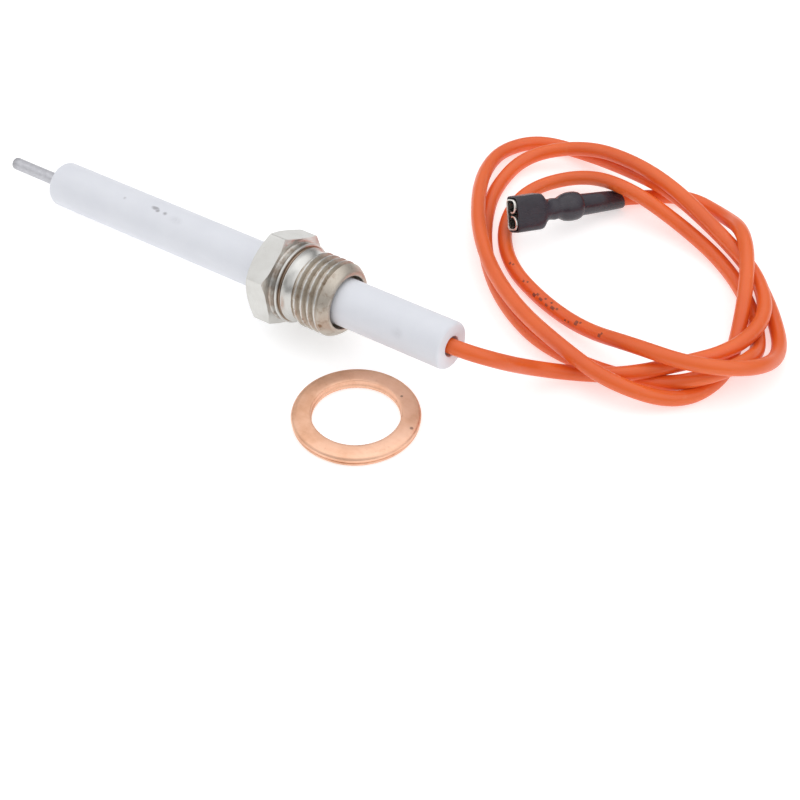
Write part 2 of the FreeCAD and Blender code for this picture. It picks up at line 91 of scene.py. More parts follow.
def make_camera():
    data = bpy.data.cameras.new("camera")
    camera = link(bpy.data.objects.new("camera", data))
    camera.location = CAMERA_SPOT
    camera.rotation_mode = "QUATERNION"
    camera.rotation_quaternion = CAMERA_WAY.to_track_quat("-Z", "Y")
    data.lens = LENS
    data.sensor_width = SENSOR
    data.clip_start = 0.01
    data.clip_end = 10
    bpy.context.scene.camera = camera


def make_cord():
    curve = bpy.data.curves.new("silicone_lead", "CURVE")
    curve.dimensions = "3D"
    spline = curve.splines.new("NURBS")
    spline.points.add(len(ROUTE) - 1)
    for point, spot in zip(spline.points, ROUTE):
        point.co = (spot[0] * MM, spot[1] * MM, spot[2] * MM, 1.0)
    spline.order_u = 3
    spline.use_endpoint_u = True
    spline.resolution_u = 12
    spline.use_smooth = True
    curve.bevel_depth = WIRE_RADIUS * MM
    curve.bevel_resolution = 10
    curve.use_fill_caps = True
    return link(bpy.data.objects.new("silicone_lead", curve))


def cord_line(cord):
    """Points along the lead's own spline, in millimetres, and the length up to each."""
    bare = cord.data.copy()
    bare.bevel_depth = 0
    probe = bpy.data.objects.new("lead_line", bare)
    link(probe)
    bpy.context.view_layer.update()
    mesh = bpy.data.meshes.new_from_object(probe)
    spots = [vertex.co / MM for vertex in mesh.vertices]
    bpy.data.objects.remove(probe)
    bpy.data.meshes.remove(mesh)
    bpy.data.curves.remove(bare)
    reach = [0.0]
    for before, after in zip(spots, spots[1:]):
        reach.append(reach[-1] + (after - before).length)
    return spots, reach


make_camera()
LEAD = make_cord()


# ---------------------------------------------------------------- placements

def on_probe(station=0.0):
    """Matrix that stands a part made along Z on the probe's axis at a station from the ceramic's front."""
    turn = Matrix.Rotation(math.pi / 2 - TILT, 4, "Y")
    return Matrix.Translation((FRONT + WAY * station) * MM) @ turn


def on_terminal():
    side = MOUTH_WAY.cross(WIDTH_WAY).normalized()
    wide = side.cross(MOUTH_WAY).normalized()
    turn = Matrix((wide, side, MOUTH_WAY)).transposed().to_4x4()
    return Matrix.Translation(TERMINAL * MM) @ turn


# ---------------------------------------------------------------- mesh helpers

def mesh_object(name, spots, faces, place, sharp=35):
    mesh = bpy.data.meshes.new(name)
    mesh.from_pydata([Vector(spot) * MM for spot in spots], [], faces)
    mesh.validate()
    mesh.update()
    for polygon in mesh.polygons:
        polygon.use_smooth = True
    mesh.set_sharp_from_angle(angle=math.radians(sharp))
    obj = link(bpy.data.objects.new(name, mesh))
    obj.matrix_world = place
    return obj


def soft_corners(points, radii, steps=4):
    """Rounds the corners of a closed (radius, height) outline; radii has one number for each corner."""
    out = []
    count = len(points)
    for index, (point, radius) in enumerate(zip(points, radii)):
        here = Vector(point)
        before, after = Vector(points[index - 1]), Vector(points[(index + 1) % count])
        if radius <= 0:
            out.append((here.x, here.y))
            continue
        back, ahead = before - here, after - here
        reach = min(radius, back.length * 0.45, ahead.length * 0.45)
        start, stop = here + back.normalized() * reach, here + ahead.normalized() * reach
        for step in range(steps + 1):
            t = step / steps
            spot = start * (1 - t) ** 2 + here * 2 * t * (1 - t) + stop * t * t
            out.append((spot.x, spot.y))
    return out


def ring(name, outline, place, segments=192, shape=None, sharp=35):
    """A ring turned about Z from a closed outline of (radius, height) pairs, outer side first going up."""
    spots, faces = [], []
    count = len(outline)
    for column in range(segments):
        angle = 2 * math.pi * column / segments
        for row, (radius, height) in enumerate(outline):
            if shape:
                radius, height = shape(angle, radius, height, row)
            spots.append((radius * math.cos(angle), radius * math.sin(angle), height))
    for column in range(segments):
        here, there = column * count, (column + 1) % segments * count
        for row in range(count):
            after = (row + 1) % count
            faces.append((here + row, there + row, there + after, here + after))
    return mesh_object(name, spots, faces, place, sharp)


def solid_of_turn(name, outline, place, segments=96, shape=None, sharp=35):
    """A solid turned about Z from an open outline that starts and ends on the axis."""
    inner = outline[1:-1]
    count = len(inner)
    spots, faces = [], []
    for column in range(segments):
        angle = 2 * math.pi * column / segments
        for row, (radius, height) in enumerate(inner):
            if shape:
                radius, height = shape(angle, radius, height, row)
            spots.append((radius * math.cos(angle), radius * math.sin(angle), height))
    low, high = len(spots), len(spots) + 1
    spots += [(0, 0, outline[0][1]), (0, 0, outline[-1][1])]
    for column in range(segments):
        here, there = column * count, (column + 1) % segments * count
        for row in range(count - 1):
            faces.append((here + row, there + row, there + row + 1, here + row + 1))
        faces.append((low, there, here))
        faces.append((high, here + count - 1, there + count - 1))
    return mesh_object(name, spots, faces, place, sharp)


def loft_ring(name, sections, place, sharp=40):
    """Closed shell from a loop of cross sections, each a list of points; the last joins the first."""
    spots = [spot for section in sections for spot in section]
    count = len(sections[0])
    faces = []
    for index in range(len(sections)):
        here, there = index * count, (index + 1) % len(sections) * count
        for k in range(count):
            after = (k + 1) % count
            faces.append((here + k, here + after, there + after, there + k))
    return mesh_object(name, spots, faces, place, sharp)


def bar(sections):
    """Spots and faces of a solid bar through cross sections, with flat ends."""
    spots = [spot for section in sections for spot in section]
    count = len(sections[0])
    faces = [tuple(reversed(range(count)))]
    for index in range(len(sections) - 1):
        here, there = index * count, (index + 1) * count
        for k in range(count):
            after = (k + 1) % count
            faces.append((here + k, here + after, there + after, there + k))
    last = (len(sections) - 1) * count
    faces.append(tuple(range(last, last + count)))
    return spots, faces


def merged(pieces):
    """Several (spots, faces) pairs as one."""
    spots, faces = [], []
    for more_spots, more_faces in pieces:
        base = len(spots)
        spots += more_spots
        faces += [tuple(base + index for index in face) for face in more_faces]
    return spots, faces


def smooth_line(points, steps):
    """The same open line with more points, curved through each given one."""
    out = []
    for k in range(len(points) - 1):
        a, b = Vector(points[k]), Vector(points[k + 1])
        before = Vector(points[k - 1]) if k else a
        after = Vector(points[k + 2]) if k + 2 < len(points) else b
        for step in range(steps):
            t = step / steps
            spot = 0.5 * (2 * a + (b - before) * t + (2 * before - 5 * a + 4 * b - after) * t * t
                          + (3 * a - before - 3 * b + after) * t ** 3)
            out.append((spot.x, spot.y))
    out.append(points[-1])
    return out


def ease(value, low, high):
    t = min(max((value - low) / (high - low), 0.0), 1.0)
    return t * t * (3 - 2 * t)


# ---------------------------------------------------------------- materials

class Paint:
    """Small helper that builds one procedural material node by node."""

    def __init__(self, name):
        self.material = bpy.data.materials.new(name)
        self.material.use_nodes = True
        self.tree = self.material.node_tree
        self.tree.nodes.clear()
        self.out = self.tree.nodes.new("ShaderNodeOutputMaterial")
        self.shader = self.tree.nodes.new("ShaderNodeBsdfPrincipled")
        self.join(self.shader.outputs["BSDF"], self.out.inputs["Surface"])
        self.spot = self.tree.nodes.new("ShaderNodeTexCoord").outputs["Object"]

    def join(self, source, target):
        self.tree.links.new(source, target)

    def set(self, **values):
        for key, number in values.items():
            self.shader.inputs[key.replace("_", " ")].default_value = number

    def stretched(self, scale=(1, 1, 1), move=(0, 0, 0)):
        node = self.tree.nodes.new("ShaderNodeMapping")
        node.inputs["Scale"].default_value = scale
        node.inputs["Location"].default_value = move
        self.join(self.spot, node.inputs["Vector"])
        return node.outputs["Vector"]

    def noise(self, size_mm, detail=3.0, rough=0.5, vector=None, move=(0, 0, 0)):
        node = self.tree.nodes.new("ShaderNodeTexNoise")
        node.inputs["Scale"].default_value = 1000.0 / size_mm
        node.inputs["Detail"].default_value = detail
        node.inputs["Roughness"].default_value = rough
        self.join(vector or self.stretched(move=move), node.inputs["Vector"])
        return node.outputs["Fac"]

    def ramp(self, source, stops):
        node = self.tree.nodes.new("ShaderNodeValToRGB")
        self.join(source, node.inputs["Fac"])
        ramp = node.color_ramp
        while len(ramp.elements) < len(stops):
            ramp.elements.new(0.5)
        for element, (place, color) in zip(ramp.elements, stops):
            element.position = place
            if isinstance(color, (int, float)):
                color = (color, color, color)
            element.color = (color[0], color[1], color[2], 1)
        return node.outputs["Color"]

    def mix(self, factor, first, second, kind="MIX"):
        node = self.tree.nodes.new("ShaderNodeMix")
        node.data_type = "RGBA"
        node.blend_type = kind
        for value, socket in ((factor, node.inputs[0]), (first, node.inputs[6]), (second, node.inputs[7])):
            if isinstance(value, (int, float)):
                socket.default_value = value
            elif isinstance(value, tuple):
                socket.default_value = (value[0], value[1], value[2], 1)
            else:
                self.join(value, socket)
        return node.outputs[2]

    def math(self, kind, first, second=0.0, third=None):
        node = self.tree.nodes.new("ShaderNodeMath")
        node.operation = kind
        for value, socket in zip((first, second, third), node.inputs):
            if value is None:
                continue
            if isinstance(value, (int, float)):
                socket.default_value = value
            else:
                self.join(value, socket)
        return node.outputs[0]

    def split(self):
        node = self.tree.nodes.new("ShaderNodeSeparateXYZ")
        self.join(self.spot, node.inputs[0])
        return node.outputs

    def around(self, along_scale, turn_scale):
        """Noise coordinates that follow a turned surface: tight along radius and height, loose round the axis."""
        x, y, z = self.split()
        squares = self.math("ADD", self.math("MULTIPLY", x, x), self.math("MULTIPLY", y, y))
        radius = self.math("SQRT", squares)
        node = self.tree.nodes.new("ShaderNodeCombineXYZ")
        self.join(self.math("MULTIPLY", radius, along_scale), node.inputs[0])
        self.join(self.math("MULTIPLY", self.math("ARCTAN2", y, x), turn_scale * MM), node.inputs[1])
        self.join(self.math("MULTIPLY", z, along_scale), node.inputs[2])
        return radius, node.outputs[0]

    def color(self, source):
        self.join(source, self.shader.inputs["Base Color"])

    def rough(self, source):
        self.join(source, self.shader.inputs["Roughness"])

    def bump(self, height, depth_mm, strength=1.0):
        node = self.tree.nodes.new("ShaderNodeBump")
        node.inputs["Strength"].default_value = strength
        node.inputs["Distance"].default_value = depth_mm * MM
        self.join(height, node.inputs["Height"])
        self.join(node.outputs["Normal"], self.shader.inputs["Normal"])

    def blot(self, spot_mm, size_mm, sides=(1.0, 1.0, 1.0)):
        """1 inside a soft blot at a place in the part's own axes, 0 outside."""
        move = self.tree.nodes.new("ShaderNodeVectorMath")
        move.operation = "SUBTRACT"
        self.join(self.spot, move.inputs[0])
        move.inputs[1].default_value = [number * MM for number in spot_mm]
        scale = self.tree.nodes.new("ShaderNodeVectorMath")
        scale.operation = "MULTIPLY"
        self.join(move.outputs[0], scale.inputs[0])
        scale.inputs[1].default_value = [side / (size_mm * MM) for side in sides]
        length = self.tree.nodes.new("ShaderNodeVectorMath")
        length.operation = "LENGTH"
        self.join(scale.outputs[0], length.inputs[0])
        return self.math("SUBTRACT", 1.0, self.math("MINIMUM", length.outputs["Value"], 1.0))


def alumina():
    paint = Paint("fired_alumina")
    cloud = paint.noise(9.0, 4.0, 0.55)
    base = paint.ramp(cloud, [(0.3, (0.735, 0.75, 0.80)), (0.7, (0.775, 0.79, 0.835))])
    grit = paint.noise(0.5, 3.0, 0.6, move=(0.3, 0.1, 0.2))
    smudges = None
    for station, angle, size, long, dark in (
        (18.6, 108, 0.45, 1.0, 0.35), (26.1, 101, 0.5, 0.45, 1.2), (26.9, 105, 0.45, 0.7, 1.2),
        (28.8, 105, 0.5, 0.8, 0.65), (31.9, 110, 1.0, 0.5, 0.12), (85.3, 154, 1.2, 0.8, 0.12),
    ):
        a = math.radians(angle)
        spot = (-CERAMIC_RADIUS * math.sin(a), CERAMIC_RADIUS * math.cos(a), station)
        blot = paint.blot(spot, size, (1.0, 1.0, long))
        blot = paint.math("MULTIPLY", blot, dark)
        smudges = blot if smudges is None else paint.math("MAXIMUM", smudges, blot)
    broken = paint.math("MULTIPLY", smudges, paint.ramp(grit, [(0.30, 0.45), (0.60, 1.0)]))
    strength = paint.math("MINIMUM", paint.math("MULTIPLY", broken, 1.5), 0.7)
    paint.color(paint.mix(strength, base, (0.26, 0.25, 0.27)))
    paint.rough(paint.ramp(grit, [(0.3, 0.42), (0.7, 0.56)]))
    fine = paint.noise(0.22, 2.0, 0.6)
    paint.bump(fine, 0.010, 0.4)
    paint.set(Subsurface_Weight=0.12, Subsurface_Radius=(1.0, 1.0, 1.0), Subsurface_Scale=0.0012)
    return paint.material


def nickel():
    """Bright plate: thin crests, painted shade in the duller taupe thread roots, painted dark reflection on the
    collar, painted shade in the groove behind the collar rim, turned rings on the nose and a few brown stains.
    """
    paint = Paint("nickel_plate")
    radius, turned = paint.around(1.0, 2.0)
    height = paint.split()[2]
    rings = paint.noise(0.16, 3.0, 0.7, vector=turned)
    cloud = paint.noise(3.2, 4.0, 0.6)
    base = paint.ramp(cloud, [(0.25, (0.56, 0.55, 0.52)), (0.75, (0.66, 0.655, 0.63))])
    in_thread = paint.math("MULTIPLY", paint.math("GREATER_THAN", height, 0.0093),
                           paint.math("LESS_THAN", radius, 0.0069))
    shank = paint.math("GREATER_THAN", height, 0.0093)
    # Taupe in the thread roots is painted shade; the same mask also puts it on the nose past the thread.
    taupe_root_shade = paint.mix(rings, (0.42, 0.365, 0.30), (0.62, 0.56, 0.48))
    colored = paint.mix(paint.math("MULTIPLY", in_thread, 0.85), base, taupe_root_shade)
    brown = paint.noise(1.5, 5.0, 0.65, move=(0.013, 0.004, 0.02))
    # This mix holds real brown stains on the shank and two blots, plus painted reflection on the collar and
    # painted shade in the groove.
    stains_and_painted_shade = paint.math("MULTIPLY", paint.ramp(brown, [(0.52, 0.0), (0.68, 0.55)]), shank)
    # Brown on the collar between the hexagon and its rim is a painted dark reflection.
    collar = paint.math("MULTIPLY", paint.math("GREATER_THAN", height, 0.00502),
                        paint.math("LESS_THAN", height, 0.00635))
    stains_and_painted_shade = paint.math("MAXIMUM", stains_and_painted_shade, paint.math(
        "MULTIPLY", paint.ramp(brown, [(0.40, 0.12), (0.60, 0.65)]), collar))
    # Dark brown in the groove behind the collar rim is painted shade.
    groove_painted_shade = paint.math("MULTIPLY", paint.math("GREATER_THAN", height, 0.00686),
                        paint.math("LESS_THAN", paint.math("ADD", height, radius), 0.01430))
    stains_and_painted_shade = paint.math("MAXIMUM", stains_and_painted_shade, paint.math("MULTIPLY", groove_painted_shade, 0.8))
    for spot, size, dark in (((1.1, -6.91, 16.0), 0.7, 2.4), ((0.9, -7.0, 12.3), 0.35, 1.2)):
        stains_and_painted_shade = paint.math("MAXIMUM", stains_and_painted_shade, paint.math("MULTIPLY", paint.blot(spot, size), dark))
    stains_and_painted_shade = paint.math("MINIMUM", stains_and_painted_shade, 0.92)
    paint.color(paint.mix(stains_and_painted_shade, colored, (0.25, 0.155, 0.09)))
    dull = paint.math("MULTIPLY_ADD", in_thread, 0.12, 0.22)
    paint.rough(paint.math("ADD", dull, paint.math("MULTIPLY", rings, 0.16)))
    paint.set(Metallic=1.0)
    paint.bump(rings, 0.03, 0.55)
    return paint.material


def rod_metal():
    paint = Paint("electrode_steel")
    height = paint.split()[2]
    along = paint.noise(0.35, 3.0, 0.6, vector=paint.stretched((1.0, 1.0, 0.08)))
    cloud = paint.noise(1.3, 4.0, 0.6)
    base = paint.ramp(cloud, [(0.3, (0.50, 0.50, 0.53)), (0.7, (0.62, 0.62, 0.65))])
    tip = paint.ramp(paint.math("MULTIPLY", height, 90.0), [(0.0, 0.75), (0.05, 0.45), (0.16, 0.0)])
    paint.color(paint.mix(tip, base, (0.27, 0.27, 0.28)))
    paint.rough(paint.ramp(along, [(0.3, 0.40), (0.7, 0.58)]))
    paint.set(Metallic=0.55)
    paint.bump(paint.math("ADD", along, cloud), 0.03, 0.4)
    return paint.material


def silicone():
    paint = Paint("orange_silicone")
    cloud = paint.noise(14.0, 3.0, 0.5)
    fine = paint.noise(0.6, 3.0, 0.6)
    base = paint.ramp(cloud, [(0.3, (0.76, 0.115, 0.016)), (0.7, (0.85, 0.145, 0.022))])
    patches = paint.noise(2.1, 5.0, 0.7, move=(0.5, 0.2, 0.1))
    dust = paint.ramp(patches, [(0.60, 0.0), (0.80, 0.25)])
    paint.color(paint.mix(dust, base, (0.92, 0.36, 0.17)))
    paint.rough(paint.ramp(fine, [(0.3, 0.28), (0.7, 0.40)]))
    paint.bump(fine, 0.010, 0.35)
    paint.set(Subsurface_Weight=0.10, Subsurface_Radius=(1.0, 0.35, 0.1), Subsurface_Scale=0.0008)
    paint.set(Specular_IOR_Level=0.55)
    return paint.material


def shrink_black():
    paint = Paint("shrunk_sleeve")
    cloud = paint.noise(3.5, 4.0, 0.6)
    wrinkle = paint.noise(1.1, 3.0, 0.55, vector=paint.stretched((1.0, 1.0, 0.35)))
    base = paint.ramp(cloud, [(0.3, (0.022, 0.018, 0.026)), (0.7, (0.040, 0.034, 0.047))])
    dust = paint.ramp(paint.noise(0.5, 4.0, 0.7), [(0.66, 0.0), (0.84, 0.15)])
    paint.color(paint.mix(dust, base, (0.12, 0.12, 0.13)))
    paint.rough(paint.ramp(wrinkle, [(0.3, 0.20), (0.7, 0.32)]))
    fine = paint.noise(0.25, 2.0, 0.5)
    paint.bump(paint.math("ADD", wrinkle, paint.math("MULTIPLY", fine, 0.25)), 0.08, 0.4)
    return paint.material


def tin_plate():
    paint = Paint("tin_plated_strip")
    grain = paint.noise(0.5, 3.0, 0.6, vector=paint.stretched((1.0, 1.0, 0.2)))
    cloud = paint.noise(1.5, 4.0, 0.6)
    paint.color(paint.ramp(cloud, [(0.3, (0.60, 0.58, 0.54)), (0.7, (0.80, 0.78, 0.74))]))
    paint.rough(paint.ramp(grain, [(0.3, 0.22), (0.7, 0.36)]))
    paint.set(Metallic=1.0)
    paint.bump(grain, 0.02, 0.4)
    return paint.material


def copper():
    paint = Paint("soft_copper")
    cloud = paint.noise(6.0, 4.0, 0.6)
    base = paint.ramp(cloud, [
        (0.28, (0.72, 0.39, 0.24)), (0.5, (0.85, 0.51, 0.35)), (0.75, (0.92, 0.59, 0.43)),
    ])
    patches = paint.noise(2.2, 5.0, 0.7, move=(0.03, 0.02, 0.01))
    tarnish = paint.ramp(patches, [(0.58, 0.0), (0.75, 0.5)])
    colored = paint.mix(tarnish, base, (0.55, 0.28, 0.16))
    specks = None
    for x, y, size in ((4.01, 7.86, 0.3), (10.08, 2.66, 0.42)):
        blot = paint.blot((x, y, 2.0), size)
        specks = blot if specks is None else paint.math("MAXIMUM", specks, blot)
    strength = paint.math("MINIMUM", paint.math("MULTIPLY", specks, 1.6), 0.75)
    paint.color(paint.mix(strength, colored, (0.20, 0.12, 0.10)))
    brush = paint.noise(0.8, 4.0, 0.65, vector=paint.stretched((0.3, 2.2, 1.0)))
    paint.rough(paint.ramp(brush, [(0.3, 0.34), (0.7, 0.52)]))
    paint.set(Metallic=1.0)
    dents = paint.noise(1.6, 3.0, 0.6)
    paint.bump(paint.math("ADD", paint.math("MULTIPLY", brush, 0.5), dents), 0.05, 0.4)
    return paint.material


def cement():
    paint = Paint("dried_cement")
    grit = paint.noise(0.5, 5.0, 0.7)
    paint.color(paint.ramp(grit, [(0.3, (0.50, 0.47, 0.42)), (0.7, (0.70, 0.67, 0.61))]))
    paint.rough(paint.ramp(grit, [(0.3, 0.75), (0.7, 0.95)]))
    paint.bump(grit, 0.08, 0.7)
    return paint.material


def ink():
    paint = Paint("faded_ink")
    wear = paint.noise(0.35, 4.0, 0.7)
    paint.color(paint.ramp(wear, [(0.35, (0.20, 0.05, 0.03)), (0.65, (0.42, 0.09, 0.03))]))
    paint.rough(paint.ramp(wear, [(0.3, 0.5), (0.7, 0.7)]))
    paint.bump(wear, 0.01, 0.3)
    return paint.material


def floor_paint():
    paint = Paint("pale_floor")
    cloud = paint.noise(60.0, 2.0, 0.5)
    paint.color(paint.ramp(cloud, [(0.3, (0.66, 0.66, 0.66)), (0.7, (0.68, 0.68, 0.68))]))
    paint.set(Roughness=0.95, Specular_IOR_Level=0.1)
    paint.set(Emission_Color=(1, 1, 1, 1), Emission_Strength=0.55)
    return paint.material


ALUMINA, NICKEL, ROD, SILICONE = alumina(), nickel(), rod_metal(), silicone()
SLEEVE, TIN, COPPER, CEMENT, INK = shrink_black(), tin_plate(), copper(), cement(), ink()


def finish_piece(obj, paint, body, slot, *nodes):
    obj.data.materials.clear()
    obj.data.materials.append(paint)
    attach(obj, body)
    if nodes:
        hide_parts(*nodes)
    return obj


# ---------------------------------------------------------------- probe

def make_electrode():
    radius = ROD_RADIUS
    outline = [(0, 0), (0.55, 0.0), (0.85, 0.03), (1.02, 0.12), (1.14, 0.26), (1.21, 0.45), (radius, 0.75)]
    outline += [(radius, 1.1 + 1.2 * k) for k in range(1, 64)]
    outline += [(radius, ROD_LENGTH), (0, ROD_LENGTH)]

    def drawn(angle, r, height, row):
        wave = noise.noise(Vector((math.cos(angle), math.sin(angle), height * 0.25)))
        return r + 0.012 * wave - 0.012, height

    obj = solid_of_turn("electrode", outline, on_probe(ROD_TIP), 64, drawn)
    return finish_piece(obj, ROD, "probe", "electrode_steel", "electrode_rod")


def make_ceramic():
    corners = [(CERAMIC_RADIUS, 0), (CERAMIC_RADIUS, CERAMIC_LENGTH), (1.9, CERAMIC_LENGTH)]
    corners += [(1.9, 58), (1.5, 58), (1.5, 0)]
    outline = soft_corners(corners, [0.75, 0.7, 0.18, 0.1, 0.1, 0.2], 6)
    obj = ring("insulator", outline, on_probe(), 160)
    return finish_piece(obj, ALUMINA, "probe", "alumina", "ceramic_insulator")


def make_bushing():
    """Hexagon, collar, neck and a right-hand thread, all as one turned and cut piece."""
    flat, corner = HEX_FLATS / 2, HEX_FLATS / math.sqrt(3)
    rows = [("", 4.45, 0.0), ("", 7.35, 0.0), ("front", 0, 0), ("side", 0, 0.35), ("side", 0, 0.65)]
    rows += [("rear", 0, 0), ("", 7.9, HEX_HEIGHT), ("", 7.66, HEX_HEIGHT)]
    collar = [(7.4, 5.04), (7.2, 5.3), (7.16, 5.8), (7.26, 6.15), (7.45, 6.36), (7.5, 6.44), (7.5, 6.76)]
    collar += [(7.44, 6.84), (7.1, 6.87), (6.88, 6.93), (6.78, 7.06), (6.82, 7.24), (6.92, 7.34)]
    collar += [(7.02, 7.42), (7.02, 7.54)]
    collar += [(7.02, 7.58), (6.62, 7.84), (6.36, 8.2), (6.2, 8.7), (6.15, 9.2)]
    rows += [("", r, z) for r, z in collar]
    rows += [
        ("thread", 0, THREAD_START + THREAD_RISE * k / THREAD_STEPS) for k in range(THREAD_STEPS + 1)
    ]
    rows += [("", r, z) for r, z in ((6.55, 16.25), (6.25, 16.65), (5.95, 17.0), (5.75, 17.2), (5.55, 17.29))]
    rows += [("", 5.15, 17.3), ("", 5.02, 17.22), ("", 5.0, 17.0), ("", 5.0, 2.2), ("", 4.45, 2.1), ("", 4.4, 2.0)]
    rows += [("", 4.4, 0.1)]

    def hexagon(angle):
        """Radius of the hexagon at an angle, its sharp corners taken off."""
        part = (angle + math.pi / 6) % (math.pi / 3) - math.pi / 6
        across = flat / math.cos(part - math.pi / 6 if part > 0 else part + math.pi / 6)
        return min(across, corner - 0.05)

    def cut(angle, radius, height, row):
        kind, radius, height = rows[row]
        hexed = hexagon(angle)
        front = CHAMFER_SLOPE * max(hexed - 7.42, 0)
        rear = HEX_HEIGHT - CHAMFER_SLOPE * max(hexed - 8.3, 0)
        if kind == "front":
            return hexed, front
        if kind == "rear":
            return hexed, rear
        if kind == "side":
            return hexed, front + (rear - front) * height
        if kind == "thread":
            outer = min(CREST_RADIUS, 6.15 + max(height - 9.2, 0) * 1.4)
            if height > 15.3:
                outer = CREST_RADIUS - 0.5 * (height - 15.3) ** 1.3
            phase = ((height - CREST_STATION) / THREAD_PITCH - angle / (2 * math.pi)) % 1.0
            deep = min(max(0.0, 1.0 - abs(phase - 0.5) / 0.43) * 1.5, 1.0)
            deep *= 1.0 - ease(height, 15.2, 15.9)
            return min(outer, CREST_RADIUS - (CREST_RADIUS - ROOT_RADIUS) * deep), height
        return radius, height

    outline = [(r, z) for kind, r, z in rows]
    place = on_probe(HEX_FRONT) @ Matrix.Rotation(math.radians(HEX_TURN), 4, "Z")
    obj = ring("bushing", outline, place, 240, cut, 32)
    return finish_piece(obj, NICKEL, "probe", "nickel_plate", "hex_bushing")


def printed_ticks(spots, reach):
    """Plain worn ticks where the lead carries its marking; they spell nothing."""
    pieces = []
    view = -CAMERA_WAY
    for start, long, wide, aside in (
        (351.7, 0.5, 10, 16), (352.4, 0.4, 8, -4), (357.2, 0.45, 8, 6), (358.0, 0.4, 7, -14),
        (361.1, 0.8, 12, 22), (361.8, 0.6, 9, 0), (362.9, 0.9, 10, 12), (363.9, 0.5, 8, -16),
        (364.9, 0.7, 9, 18), (365.6, 0.45, 8, -22), (366.3, 1.0, 12, 6), (367.5, 0.5, 9, -8),
        (370.6, 0.4, 7, 26), (371.5, 0.4, 7, 24), (373.1, 0.8, 18, 0), (374.1, 0.45, 8, -16),
        (379.7, 0.7, 13, 14), (380.3, 0.4, 8, -6),
    ):
        outer, inner = [], []
        for along in range(5):
            want = start + long * along / 4
            k = max(i for i, length in enumerate(reach) if length <= want)
            t = (want - reach[k]) / (reach[k + 1] - reach[k])
            here = spots[k].lerp(spots[k + 1], t)
            way = (spots[k + 1] - spots[k]).normalized()
            face = (view - way * view.dot(way)).normalized()
            side = way.cross(face)
            for across in range(7):
                a = math.radians(wide * (across / 3 - 1) + aside)
                out = face * math.cos(a) + side * math.sin(a)
                outer.append(here + out * (WIRE_RADIUS + 0.016))
                inner.append(here + out * (WIRE_RADIUS - 0.06))
        faces = []
        total = len(outer)
        for along in range(4):
            for across in range(6):
                k = along * 7 + across
                faces.append((k, k + 1, k + 8, k + 7))
                faces.append((total + k, total + k + 7, total + k + 8, total + k + 1))
        rim = [k for k in range(7)] + [7 * r + 6 for r in range(1, 5)]
        rim += [28 + k for k in range(5, -1, -1)] + [7 * r for r in range(3, 0, -1)]
        for k, first in enumerate(rim):
            second = rim[(k + 1) % len(rim)]
            faces.append((first, total + first, total + second, second))
        pieces.append((outer + inner, faces))
    spots, faces = merged(pieces)
    obj = mesh_object("printed_ticks", spots, faces, Matrix.Identity(4))
    return finish_piece(obj, INK, "probe", "silicone")


# ---------------------------------------------------------------- terminal

def oval(height, half_wide, half_tall, power, shift=0.0, count=64):
    out = []
    for k in range(count):
        a = 2 * math.pi * k / count
        c, s = math.cos(a), math.sin(a)
        x = half_wide * math.copysign(abs(c) ** (2 / power), c)
        y = half_tall * math.copysign(abs(s) ** (2 / power), s) + shift
        out.append((x, y, height))
    return out


def make_sleeve():
    """Shrunk sleeve: square over the box, pinched at the neck, bulging over the crimps, cut askew at the wire."""
    table = [
        (0.0, 1.78, 1.78, 2.0), (0.3, 1.84, 1.84, 2.0), (3.0, 1.93, 1.92, 2.0), (6.0, 2.03, 2.00, 2.0),
        (8.6, 2.10, 2.06, 2.0), (10.0, 2.13, 2.08, 2.0), (10.5, 2.15, 2.10, 2.0), (10.58, 2.42, 2.36, 2.0),
        (10.8, 2.64, 2.56, 2.0), (11.4, 2.78, 2.68, 2.0), (12.2, 2.82, 2.70, 2.0), (13.1, 2.80, 2.66, 2.0),
        (14.0, 2.64, 2.50, 2.0), (14.7, 2.36, 2.26, 2.0), (15.2, 2.12, 2.06, 2.1), (15.6, 2.03, 1.94, 2.2),
        (16.2, 2.07, 1.90, 2.3), (16.7, 2.10, 1.88, 2.4), (17.2, 2.02, 1.80, 2.5), (17.8, 1.98, 1.76, 2.6),
        (18.3, 2.04, 1.76, 2.8), (18.7, 2.26, 1.79, 3.0), (19.1, 2.66, 1.84, 3.3), (19.45, 3.10, 1.90, 3.8),
        (19.8, 3.38, 1.93, 4.4), (20.4, 3.49, 1.95, 4.8), (22.0, 3.50, 1.95, 5.0), (24.0, 3.50, 1.95, 5.0),
        (25.4, 3.50, 1.95, 5.0), (25.8, 3.47, 1.92, 4.9), (25.9, 3.40, 1.85, 4.8),
    ]
    sections = []
    for height, wide, tall, power in table:
        section = oval(height, wide, tall, power)
        wobble = []
        for x, y, z in section:
            push = 1 + 0.012 * noise.noise(Vector((x * 0.8, y * 0.8, z * 0.9)))
            askew = 0.55 * (x / wide) * (1 - ease(z, 0.0, 3.0))
            wobble.append((x * push, y * push, z + 0.55 * (1 - ease(z, 0.0, 3.0)) + askew))
        sections.append(wobble)
    for height, wide, tall, power in (
        (25.88, 3.20, 1.64, 5.2), (25.6, 3.12, 1.57, 5.4), (22.0, 3.11, 1.56, 5.4), (19.9, 3.0, 1.55, 4.6),
        (19.3, 2.3, 1.5, 3.2), (18.4, 1.76, 1.50, 2.6), (17.0, 1.74, 1.56, 2.3), (15.4, 1.72, 1.62, 2.1),
        (14.0, 2.05, 2.0, 2.0),
        (10.9, 2.0, 2.0, 2.0), (10.3, 1.5, 1.5, 2.0), (9.0, 1.43, 1.43, 2.0), (1.6, 1.43, 1.43, 2.0),
        (0.9, 1.45, 1.45, 2.0),
    ):
        sections.append(oval(height, wide, tall, power))
    obj = loft_ring("shrink_sleeve", sections, on_terminal(), 50)
    return finish_piece(obj, SLEEVE, "probe", "sleeve_black", "heat_shrink_sleeve")


